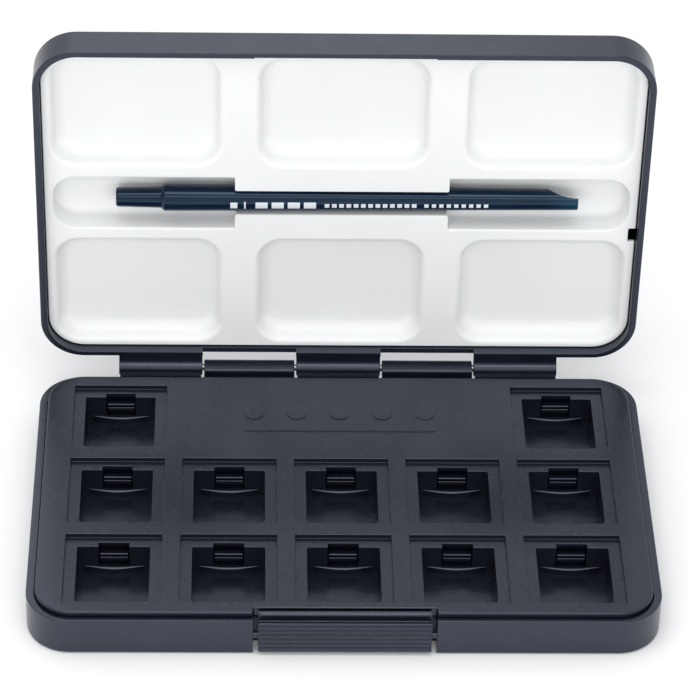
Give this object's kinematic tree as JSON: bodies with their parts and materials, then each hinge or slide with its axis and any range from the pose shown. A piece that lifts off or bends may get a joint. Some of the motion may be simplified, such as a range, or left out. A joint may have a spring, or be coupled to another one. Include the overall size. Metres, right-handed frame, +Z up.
{
  "type": "watercolor pan set",
  "caption": "Pocket watercolor box standing open: base with half-pan wells and press latch, hinged lid with lift-out mixing palette and a reversible travel brush.",
  "frame": {"origin": "on the table under the middle of the base, in the plane of the base's flat underside", "axes": "+X to the right along the hinge, +Y to the back towards the hinge, +Z up"},
  "size_m": [0.155, 0.1096, 0.1092],
  "materials": {
    "case_plastic": "fine satin, near-black with a slight blue cast",
    "tray_plastic": "fine satin, near-black with a slight blue cast",
    "palette_plastic": "smooth white, semi-gloss",
    "brush_plastic": "glossy navy, slightly see-through at thin edges",
    "pin_metal": "dark drawn wire",
    "ferrule_metal": "polished nickel",
    "bristle": "fine brown hair"
  },
  "bodies": {
    "base": {"base_shell": "case_plastic", "pan_tray": "tray_plastic", "hinge_pin": "pin_metal"},
    "lid": {"lid_shell": "case_plastic"},
    "palette": {"mixing_palette": "palette_plastic"},
    "brush": {"brush_handle": "brush_plastic"},
    "brush_head": {"brush_plug": "brush_plastic", "brush_ferrule": "ferrule_metal", "brush_bristles": "bristle"},
    "latch": {"latch": "case_plastic"},
    "pan_clip_01": {"pan_clip_01": "tray_plastic"},
    "pan_clip_02": {"pan_clip_02": "tray_plastic"},
    "pan_clip_03": {"pan_clip_03": "tray_plastic"},
    "pan_clip_04": {"pan_clip_04": "tray_plastic"},
    "pan_clip_05": {"pan_clip_05": "tray_plastic"},
    "pan_clip_06": {"pan_clip_06": "tray_plastic"},
    "pan_clip_07": {"pan_clip_07": "tray_plastic"},
    "pan_clip_08": {"pan_clip_08": "tray_plastic"},
    "pan_clip_09": {"pan_clip_09": "tray_plastic"},
    "pan_clip_10": {"pan_clip_10": "tray_plastic"},
    "pan_clip_11": {"pan_clip_11": "tray_plastic"},
    "pan_clip_12": {"pan_clip_12": "tray_plastic"}
  },
  "joints": [
    {"name": "lid_hinge", "type": "hinge", "parent": "base", "child": "lid", "pos_m": [0, 0.05105, 0.0109], "axis": [1, 0, 0], "range_deg": [0, 90]},
    {"name": "palette_lift", "type": "slide", "parent": "lid", "child": "palette", "axis": [0, 1, 0], "range_m": [-0.03, 0]},
    {"name": "brush_lift", "type": "slide", "parent": "palette", "child": "brush", "axis": [0, 1, 0], "range_m": [-0.035, 0]},
    {"name": "plug_pull", "type": "slide", "parent": "brush", "child": "brush_head", "axis": [1, 0, 0], "range_m": [-0.015, 0]},
    {"name": "latch_pivot", "type": "hinge", "parent": "base", "child": "latch", "pos_m": [0, -0.04605, 0.0052], "axis": [1, 0, 0], "range_deg": [-5, 0], "stiffness_Nm_per_rad": 0.05},
    {"name": "pan_clip_01_flex", "type": "hinge", "parent": "base", "child": "pan_clip_01", "pos_m": [-0.0566, -0.01865, 0.00435], "axis": [1, 0, 0], "range_deg": [-4, 0], "stiffness_Nm_per_rad": 0.02},
    {"name": "pan_clip_02_flex", "type": "hinge", "parent": "base", "child": "pan_clip_02", "pos_m": [-0.0283, -0.01865, 0.00435], "axis": [1, 0, 0], "range_deg": [-4, 0], "stiffness_Nm_per_rad": 0.02},
    {"name": "pan_clip_03_flex", "type": "hinge", "parent": "base", "child": "pan_clip_03", "pos_m": [0, -0.01865, 0.00435], "axis": [1, 0, 0], "range_deg": [-4, 0], "stiffness_Nm_per_rad": 0.02},
    {"name": "pan_clip_04_flex", "type": "hinge", "parent": "base", "child": "pan_clip_04", "pos_m": [0.0283, -0.01865, 0.00435], "axis": [1, 0, 0], "range_deg": [-4, 0], "stiffness_Nm_per_rad": 0.02},
    {"name": "pan_clip_05_flex", "type": "hinge", "parent": "base", "child": "pan_clip_05", "pos_m": [0.0566, -0.01865, 0.00435], "axis": [1, 0, 0], "range_deg": [-4, 0], "stiffness_Nm_per_rad": 0.02},
    {"name": "pan_clip_06_flex", "type": "hinge", "parent": "base", "child": "pan_clip_06", "pos_m": [-0.0566, 0.01075, 0.00435], "axis": [1, 0, 0], "range_deg": [-4, 0], "stiffness_Nm_per_rad": 0.02},
    {"name": "pan_clip_07_flex", "type": "hinge", "parent": "base", "child": "pan_clip_07", "pos_m": [-0.0283, 0.01075, 0.00435], "axis": [1, 0, 0], "range_deg": [-4, 0], "stiffness_Nm_per_rad": 0.02},
    {"name": "pan_clip_08_flex", "type": "hinge", "parent": "base", "child": "pan_clip_08", "pos_m": [0, 0.01075, 0.00435], "axis": [1, 0, 0], "range_deg": [-4, 0], "stiffness_Nm_per_rad": 0.02},
    {"name": "pan_clip_09_flex", "type": "hinge", "parent": "base", "child": "pan_clip_09", "pos_m": [0.0283, 0.01075, 0.00435], "axis": [1, 0, 0], "range_deg": [-4, 0], "stiffness_Nm_per_rad": 0.02},
    {"name": "pan_clip_10_flex", "type": "hinge", "parent": "base", "child": "pan_clip_10", "pos_m": [0.0566, 0.01075, 0.00435], "axis": [1, 0, 0], "range_deg": [-4, 0], "stiffness_Nm_per_rad": 0.02},
    {"name": "pan_clip_11_flex", "type": "hinge", "parent": "base", "child": "pan_clip_11", "pos_m": [-0.0566, 0.04015, 0.00435], "axis": [1, 0, 0], "range_deg": [-4, 0], "stiffness_Nm_per_rad": 0.02},
    {"name": "pan_clip_12_flex", "type": "hinge", "parent": "base", "child": "pan_clip_12", "pos_m": [0.0566, 0.04015, 0.00435], "axis": [1, 0, 0], "range_deg": [-4, 0], "stiffness_Nm_per_rad": 0.02}
  ]
}
